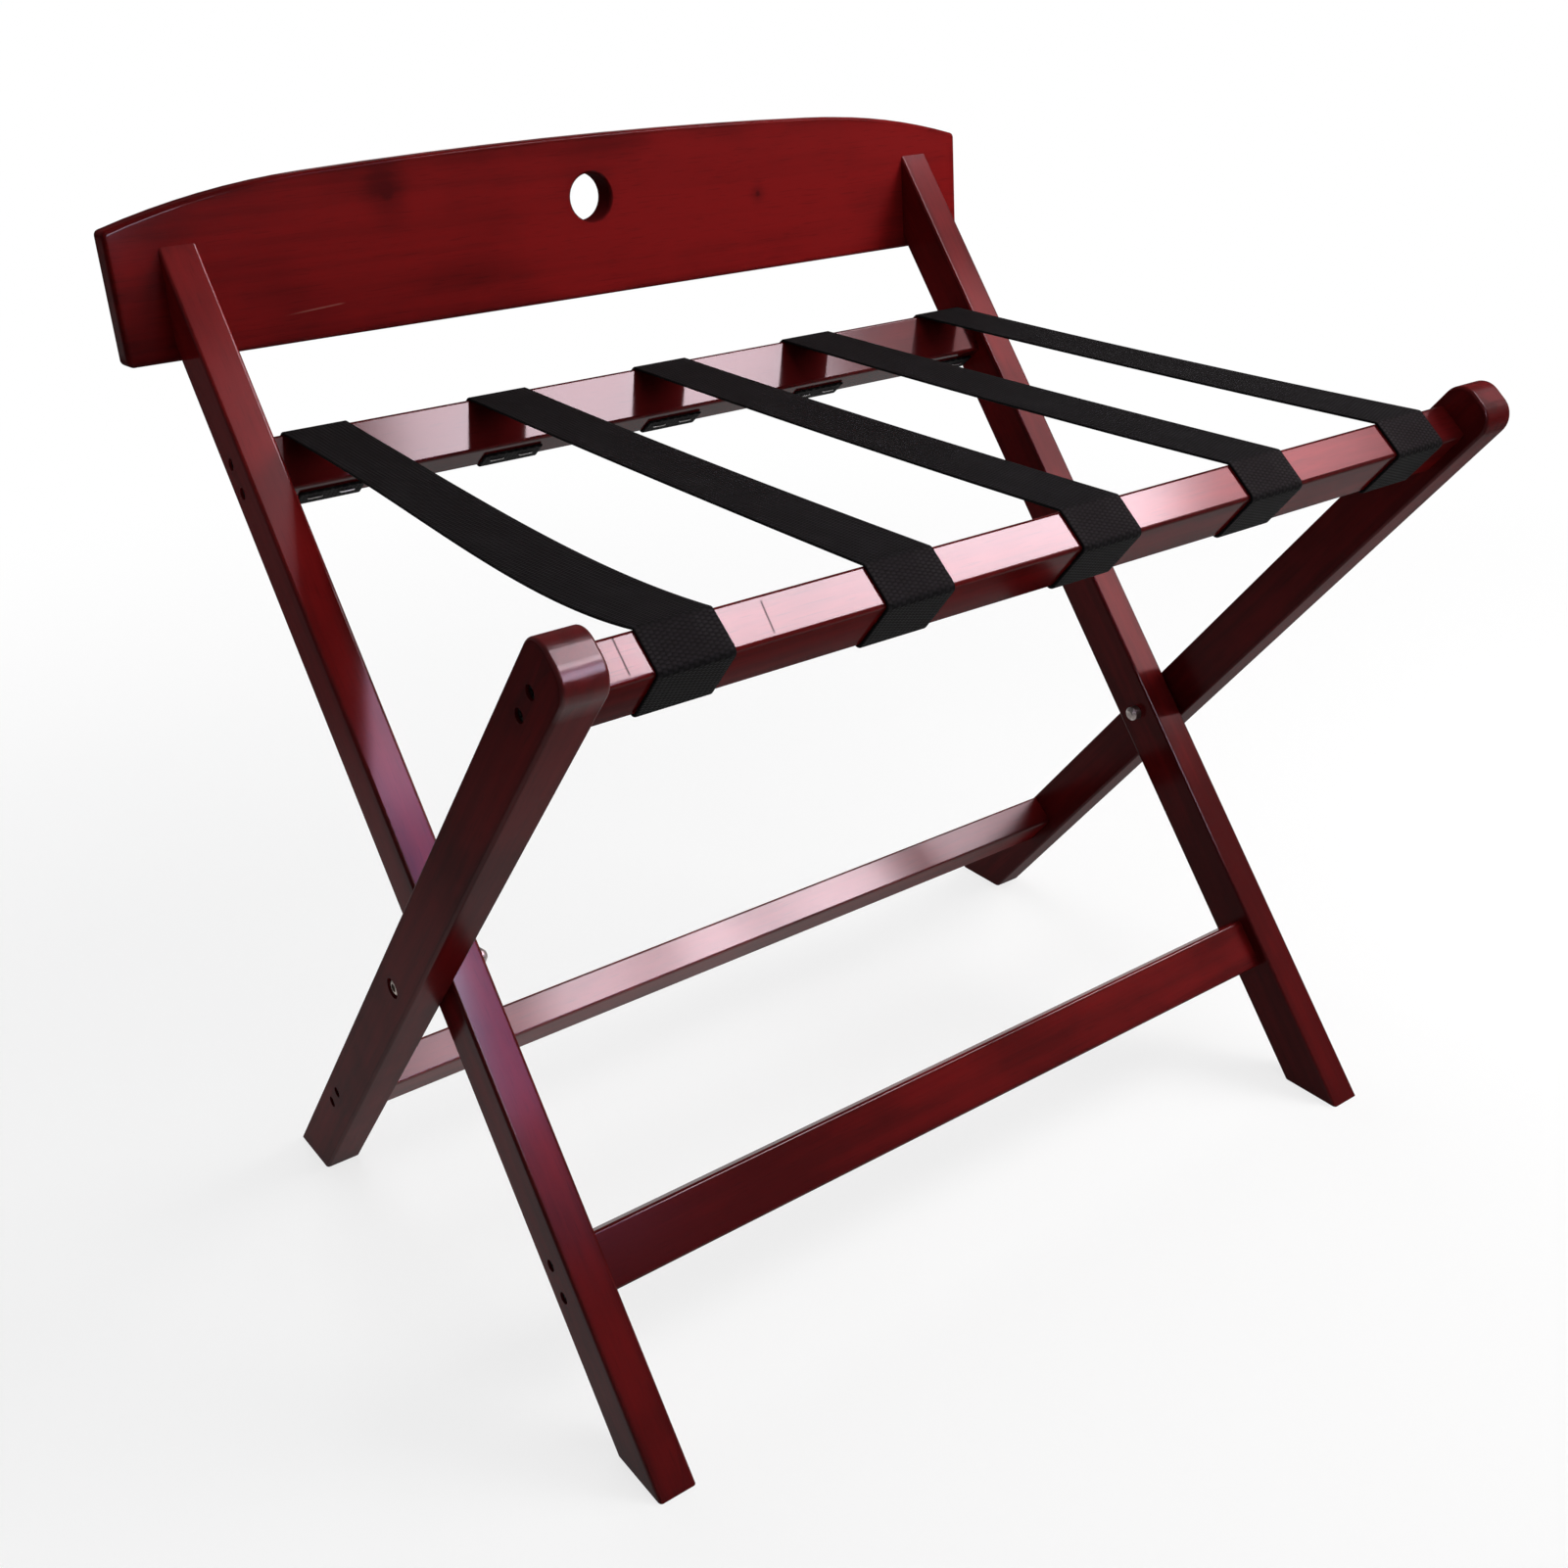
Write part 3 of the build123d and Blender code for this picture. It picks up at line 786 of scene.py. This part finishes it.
class Recipe(Tree):
    """A Geometry Nodes tree that puts one thing at each point of a mesh."""

    def __init__(self, name, sizes):
        group = bpy.data.node_groups.new(name, "GeometryNodeTree")
        super().__init__(group)
        group.interface.new_socket("Places", in_out="INPUT", socket_type="NodeSocketGeometry")
        self.sizes = {}
        for label, value in sizes.items():
            kind = "NodeSocketInt" if isinstance(value, int) else "NodeSocketFloat"
            socket = group.interface.new_socket(label, in_out="INPUT", socket_type=kind)
            self.sizes[socket.identifier] = value
        group.interface.new_socket("Geometry", in_out="OUTPUT", socket_type="NodeSocketGeometry")
        self.entry = group.nodes.new("NodeGroupInput")

    def size(self, label):
        return Field(self, self.entry.outputs[label])

    def moved(self, geometry, translation, rotation=(0.0, 0.0, 0.0)):
        sockets = {"Geometry": geometry, "Translation": translation, "Rotation": rotation}
        return self.node("GeometryNodeTransform", inputs=sockets)

    def facing(self, pivot_axis="AUTO"):
        """The turn that points Z the way that each place faces."""
        settings = {"data_type": "FLOAT_VECTOR"}
        facing = self.node("GeometryNodeInputNamedAttribute", settings, {"Name": "facing"})
        settings = {"axis": "Z", "pivot_axis": pivot_axis}
        return self.node("FunctionNodeAlignRotationToVector", settings, {"Vector": facing})

    def finish(self, thing, rotation, material):
        sockets = {"Points": self.size("Places"), "Instance": thing, "Rotation": rotation}
        placed = self.node("GeometryNodeInstanceOnPoints", inputs=sockets)
        real = self.node("GeometryNodeRealizeInstances", inputs={"Geometry": placed})
        done = self.node("GeometryNodeSetMaterial", inputs={"Geometry": real, "Material": material})
        self.node("NodeGroupOutput", inputs={"Geometry": done})
        return self

    def mesh(self, name, places):
        """One plain mesh with the thing at each place, a point and the way it faces."""
        points = bpy.data.meshes.new(name)
        points.from_pydata([point for point, _ in places], [], [])
        write_values(points, "facing", [list(facing) for _, facing in places])
        holder = add_object(name, points)
        repeat = holder.modifiers.new(name, "NODES")
        repeat.node_group = self.tree
        for identifier, value in self.sizes.items():
            repeat[identifier] = value
        made = as_mesh(holder, name)
        shape = bmesh.new()
        shape.from_mesh(made)
        return smooth_mesh(name, shape)


def staple_recipe(sizes, material):
    """A wire staple whose crown lies along X at its place."""
    r = Recipe("staples", sizes)
    crown, leg, wire = r.size("Crown"), r.size("Leg"), r.size("Wire radius")
    ring = r.node("GeometryNodeCurvePrimitiveQuadrilateral", inputs={"Width": leg, "Height": crown})
    sockets = {"Curve": ring, "Start_001": 0.0, "End_001": leg * 2 + crown}
    bow = r.node("GeometryNodeTrimCurve", {"mode": "LENGTH"}, sockets)
    sockets = {"Curve": bow, "Count": 4, "Radius": wire * 1.6}
    bow = r.node("GeometryNodeFilletCurve", {"mode": "POLY"}, sockets)
    round_wire = r.node("GeometryNodeCurvePrimitiveCircle", inputs={"Resolution": 8, "Radius": wire})
    sockets = {"Curve": bow, "Profile Curve": round_wire, "Fill Caps": True}
    staple = r.node("GeometryNodeCurveToMesh", inputs=sockets)
    staple = r.moved(staple, r.vector(0.0, 0.0, leg * -0.5), (pi / 2, pi / 2, 0.0))
    return r.finish(staple, r.facing("X"), material)


def staple_places(rail, end, along_tail=0.42, proud=0.3, sides=(-0.25, 0.25)):
    """Two places in each strap's tail under a rail, and the way out there."""
    webbing, wire = bpy.context.scene.rack_webbing, bpy.context.scene.rack_fasteners.staple_wire
    tail, corner = wrap_corners(rail)[:2]
    out = rail_section(rail)[1] * -1
    row = tail.lerp(corner, along_tail) + out * (webbing.thickness / 2 + wire * proud)
    middles = [middle_x(f"strap_{number}_{end}") for number in STRAPS]
    return [(Vector((x + side * webbing.width, row.y, row.z)), out) for x in middles for side in sides]


class RACK_OT_staples(bpy.types.Operator):
    """Sets two staples through each strap's tails, under the rails"""

    bl_idname = "rack.staples"
    bl_label = "Staples"

    def execute(self, context):
        fasteners = context.scene.rack_fasteners
        material = metal("staple wire", (0.55, 0.54, 0.52), (0.32, 0.31, 0.30), 0.32)
        sizes = {"Crown": fasteners.staple_crown, "Leg": fasteners.staple_leg}
        sizes["Wire radius"] = fasteners.staple_wire / 2
        recipe = staple_recipe(sizes, material)
        for rail, end, body in (("front_rail", "front_end", OUTER), ("back_rail", "back_end", INNER)):
            mesh = recipe.mesh(f"{rail}_staples", staple_places(rail, end))
            piece = add_piece(f"{rail}_staples", mesh, material, body)
        return {"FINISHED"}


def screw_recipe(name, sizes, material):
    """A screw with its head at its place: a cross slot and a plain shank."""
    r = Recipe(name, sizes)
    head, height, slot = r.size("Head radius"), r.size("Head height"), r.size("Slot width")
    sockets = {"Vertices": 28, "Radius Top": head, "Radius Bottom": r.size("Seat radius"), "Depth": height}
    cap = r.moved(r.node("GeometryNodeMeshCone", inputs=sockets), r.vector(0.0, 0.0, 0 - height))
    slot_length, slot_depth = head * 1.25, height * 0.8
    bars = [r.vector(slot_length, slot, slot_depth), r.vector(slot, slot_length, slot_depth)]
    bars = [r.node("GeometryNodeMeshCube", inputs={"Size": bar}) for bar in bars]
    sockets = {"Mesh 1": cap, "Mesh 2": bars}
    cap = r.node("GeometryNodeMeshBoolean", {"operation": "DIFFERENCE"}, sockets)
    length = r.size("Shank length")
    sockets = {"Vertices": 20, "Radius": r.size("Shank radius"), "Depth": length}
    shank = r.node("GeometryNodeMeshCylinder", inputs=sockets)
    shank = r.moved(shank, r.vector(0.0, 0.0, 0 - height - length / 2))
    screw = r.node("GeometryNodeJoinGeometry", inputs={"Geometry": [cap, shank]})
    sockets = {"Min_001": 0.0, "Max_001": 2 * pi, "Seed": r.size("Seed")}
    turn = r.node("FunctionNodeRandomValue", {"data_type": "FLOAT"}, sockets, output=1)
    spin = r.node("FunctionNodeAxisAngleToRotation", inputs={"Axis": (0.0, 0.0, 1.0), "Angle": turn})
    sockets = {"Rotation": r.facing(), "Rotate By": spin}
    turned = r.node("FunctionNodeRotateRotation", {"rotation_space": "LOCAL"}, sockets)
    return r.finish(screw, turned, material)


def screw_places(node):
    """Middle of each screw head's top in a set, and the way out of the timber there."""
    shape = merged(node)
    left = set(shape.verts)
    places = []
    while left:
        part, edge = set(), [left.pop()]
        while edge:
            point = edge.pop()
            part.add(point)
            near = {e.other_vert(point) for e in point.link_edges} & left
            left -= near
            edge += near
        points = np.array(sorted(tuple(point.co) for point in part))
        middle = (points.min(0) + points.max(0)) / 2
        axis = np.linalg.svd(points - points.mean(0), full_matrices=False)[2][0]
        reach = (points - middle) @ axis
        wide = np.linalg.norm(points - middle - np.outer(reach, axis), axis=1)
        axis = axis * np.sign(reach[int(np.argmax(wide))])
        reach = (points - middle) @ axis
        places.append((Vector(middle + axis * reach.max()), Vector(axis)))
    shape.free()
    return sorted(places, key=lambda place: tuple(round(v, 4) for v in place[0]))


class RACK_OT_screws(bpy.types.Operator):
    """Makes the rails' and the backboard's cross-slot screws"""

    bl_idname = "rack.screws"
    bl_label = "Screws"

    def execute(self, context):
        fasteners = context.scene.rack_fasteners
        material = metal("blackened screw steel", (0.06, 0.055, 0.05), (0.03, 0.027, 0.025), 0.38)
        shank, head, board_head = fasteners.shank / 2, fasteners.screw_head / 2, fasteners.board_head / 2
        common = {"Shank radius": shank, "Slot width": fasteners.screw_slot, "Seed": fasteners.seed}
        rail = {"Head radius": head, "Seat radius": head, "Head height": fasteners.screw_head_height}
        rail |= {"Shank length": fasteners.screw_length}
        board = {"Head radius": board_head, "Seat radius": shank, "Head height": fasteners.board_head_height}
        board |= {"Shank length": fasteners.board_length}
        rail_screws = screw_recipe("rail screws", rail | common, material)
        board_screws = screw_recipe("board screws", board | common, material)
        for node in SCREW_SETS:
            recipe = board_screws if node == "backboard_screws" else rail_screws
            mesh = recipe.mesh(f"{node}_steel", screw_places(node))
            piece = add_piece(mesh.name, mesh, material, BODY_OF[node])
            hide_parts(node)
        return {"FINISHED"}


def raise_head(shape, side, rise=1.7 * MM, lap=0.3 * MM, inset=0.1 * MM, count=32, flush=0.01 * MM):
    """Adds a round shoulder to a bolt's head, round its socket."""
    tip = max(shape.verts, key=lambda point: point.co.x * side).co.x
    rim = [point.co.copy() for point in shape.verts if abs(point.co.x - tip) < flush]
    middle = (Vector(np.min(rim, 0)) + Vector(np.max(rim, 0))) / 2
    reach = sorted((point - middle).length for point in rim)
    inner, outer = reach[0] + inset, reach[-1] - inset
    arc = [(inner + (outer - inner) * cos(t), rise * sin(t)) for t in np.linspace(0, pi / 2, 7)]
    profile = [(outer, -lap), *arc, (inner, -lap)]
    rings = []
    for turn in np.linspace(0, 2 * pi, count, endpoint=False):
        out = Vector((0, cos(turn), sin(turn)))
        ring = [middle + out * radius + Vector((side * up, 0, 0)) for radius, up in profile]
        rings.append([shape.verts.new(point) for point in ring])
    faces = join_rings(shape, rings + rings[:1])
    bmesh.ops.recalc_face_normals(shape, faces=faces)


class RACK_OT_pivots(bpy.types.Operator):
    """Finishes the pivot bolts, sleeve nuts and spacers"""

    bl_idname = "rack.pivots"
    bl_label = "Pivots"

    def execute(self, context):
        fasteners = context.scene.rack_fasteners
        worn = metal("worn zinc", (0.54, 0.45, 0.40), (0.34, 0.28, 0.25), 0.30)
        aged = metal("aged steel", (0.40, 0.35, 0.33), (0.22, 0.19, 0.18), 0.34)
        kinds = {
            "pivot_bolt": (worn, "steel", fasteners.bevel),
            "pivot_nut": (aged, "steel", fasteners.nut_bevel),
            "pivot_spacer": (black_nylon(), "spacer", fasteners.bevel),
        }
        for kind, (material, slot, bevel) in kinds.items():
            for side in SIDES:
                node = f"{kind}_{side}"
                shape = merged(node)
                if kind == "pivot_bolt":
                    raise_head(shape, -1 if side == "left" else 1)
                mesh = smooth_mesh(f"{node}_finished", shape, bevel=bevel)
                piece = add_piece(mesh.name, mesh, material, BODY_OF[node])
                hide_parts(node)
        return {"FINISHED"}


# Stage


def add_lamp(name, bearing, tilt, half_angles, distance, colour, radiance, kind):
    """A soft rectangular lamp that faces the rack."""
    azimuth, elevation, tilt = map(radians, (*bearing, tilt))
    out = Vector((sin(azimuth) * cos(elevation), -cos(azimuth) * cos(elevation), sin(elevation)))
    level = Vector((cos(azimuth), sin(azimuth), 0))
    right = level * cos(tilt) + out.cross(level) * sin(tilt)
    lamp = bpy.data.lights.new(name, "AREA")
    lamp.shape = "RECTANGLE"
    lamp.size, lamp.size_y = (2 * distance * tan(radians(half)) for half in half_angles)
    lamp.color = colour
    lamp.energy = radiance * pi * lamp.size * lamp.size_y
    holder = add_object(name, lamp)
    turn = Matrix((right, out.cross(right), out)).transposed().to_4x4()
    holder.matrix_world = Matrix.Translation(LAMPS_FACE + out * distance) @ turn
    holder.visible_camera = False
    holder.visible_diffuse = kind == "body"
    holder.visible_glossy = kind == "gloss"


def add_camera(stage):
    """The photograph's view."""
    camera = bpy.data.cameras.new("photo view")
    camera.sensor_width = 36
    camera.lens = stage.lens
    heading, pitch, roll = stage.heading, stage.pitch, stage.roll
    ahead = Vector((sin(heading) * cos(pitch), cos(heading) * cos(pitch), sin(pitch)))
    level = Vector((cos(heading), -sin(heading), 0))
    upright = level.cross(ahead)
    right = level * cos(roll) + upright * sin(roll)
    up = upright * cos(roll) - level * sin(roll)
    turn = Matrix((right, up, -ahead)).transposed().to_4x4()
    holder = add_object("photo view", camera)
    holder.matrix_world = Matrix.Translation(stage.eye) @ turn
    bpy.context.scene.camera = holder


def background_rays(tree):
    """Two fields: 1 for rays from the camera, and 1 for rays from a mirror or glass."""
    kinds = ("Is Camera Ray", "Is Glossy Ray", "Is Transmission Ray")
    path = tree.node("ShaderNodeLightPath")
    camera, glossy, through = (Field(tree, path.socket.node.outputs[kind]) for kind in kinds)
    return camera, glossy.or_more(through)


def add_floor(stage, reach=40.0, gap=0.5 * MM, spread=0.46, soft_edge=0.35, fade=(0.5, 1.7), glow=0.76):
    """A pale floor that runs out to white. The lacquer mirrors only its paper, which widens to the back."""
    mesh = bpy.data.meshes.new("floor")
    corners = [(-reach, -reach), (reach, -reach), (reach, reach), (-reach, reach)]
    mesh.from_pydata([(x, y, -gap) for x, y in corners], [], [(0, 1, 2, 3)])
    f = Finish("pale floor")
    place = f.node("ShaderNodeTexCoord", output="Object")
    away = f.node("ShaderNodeVectorMath", {"operation": "LENGTH"}, {0: place}, output="Value")
    x, y, _ = f.parts(place)
    x, y = x - stage.eye[0], y - stage.eye[1]
    ahead = x * sin(stage.heading) + y * cos(stage.heading)
    aside = abs(x * cos(stage.heading) - y * sin(stage.heading))
    paper = 1 - (aside - ahead * spread).over(0.0, soft_edge)
    direct, mirrored = background_rays(f)
    pale = direct.or_more(mirrored * paper)
    colour = f.mix(pale, stage.studio_colour, stage.floor_colour)
    sockets = {"Base Color": colour, "Roughness": 0.9, "Specular IOR Level": 0.0}
    near = f.node("ShaderNodeBsdfPrincipled", inputs=sockets)
    far = f.node("ShaderNodeEmission", inputs={"Color": (1, 1, 1, 1), "Strength": 1.0})
    white = pale * away.over(*fade, glow, 1.0)
    material = f.surface(f.node("ShaderNodeMixShader", inputs={0: white, 1: near, 2: far}))
    mesh.materials.append(material)
    floor = add_object("floor", mesh)


def add_world(stage):
    """Grey light from all round, and white where the camera looks past the floor."""
    world = bpy.data.worlds.new("studio")
    world.use_nodes = True
    world.node_tree.nodes.clear()
    tree = Tree(world.node_tree)
    grey = (*stage.room_colour, 1.0)
    room = tree.node("ShaderNodeBackground", inputs={"Color": grey, "Strength": 1.0})
    white = tree.node("ShaderNodeBackground", inputs={"Color": (1.0, 1.0, 1.0, 1.0), "Strength": 1.0})
    direct, _ = background_rays(tree)
    glow = tree.node("ShaderNodeMixShader", inputs={0: direct, 1: room, 2: white})
    tree.node("ShaderNodeOutputWorld", inputs={"Surface": glow})
    bpy.context.scene.world = world


class RACK_OT_stage(bpy.types.Operator):
    """Sets the camera, a pale floor and soft studio light"""

    bl_idname = "rack.stage"
    bl_label = "Stage"

    def execute(self, context):
        stage = context.scene.rack_stage
        context.scene.view_settings.view_transform = "Standard"
        add_camera(stage)
        add_floor(stage)
        add_world(stage)
        for lamp in LAMPS:
            add_lamp(*lamp)
        return {"FINISHED"}


# Panel and registration


class RACK_PT_pieces(bpy.types.Panel):
    """Lists the rack's settings and its operators"""

    bl_idname = "RACK_PT_pieces"
    bl_label = "Luggage rack"
    bl_space_type = "VIEW_3D"
    bl_region_type = "UI"
    bl_category = "Rack"

    def draw(self, context):
        for group in GROUPS:
            settings = getattr(context.scene, group)
            box = self.layout.box()
            for name in settings.__annotations__:
                box.prop(settings, name)
        for operator in OPERATORS:
            self.layout.operator(operator.bl_idname)


GROUPS = {
    "rack_timber": RackTimber,
    "rack_webbing": RackWebbing,
    "rack_fasteners": RackFasteners,
    "rack_stage": RackStage,
}
OPERATORS = (RACK_OT_timber, RACK_OT_straps, RACK_OT_staples, RACK_OT_screws, RACK_OT_pivots, RACK_OT_stage)
CLASSES = (*GROUPS.values(), *OPERATORS, RACK_PT_pieces)


def register():
    for kind in CLASSES:
        bpy.utils.register_class(kind)
    for name, kind in GROUPS.items():
        setattr(bpy.types.Scene, name, PointerProperty(type=kind))


def unregister():
    for name in GROUPS:
        delattr(bpy.types.Scene, name)
    for kind in reversed(CLASSES):
        bpy.utils.unregister_class(kind)


def main():
    register()
    bpy.ops.rack.timber()
    bpy.ops.rack.straps()
    bpy.ops.rack.staples()
    bpy.ops.rack.screws()
    bpy.ops.rack.pivots()
    bpy.ops.rack.stage()


if __name__ == "__main__":
    main()
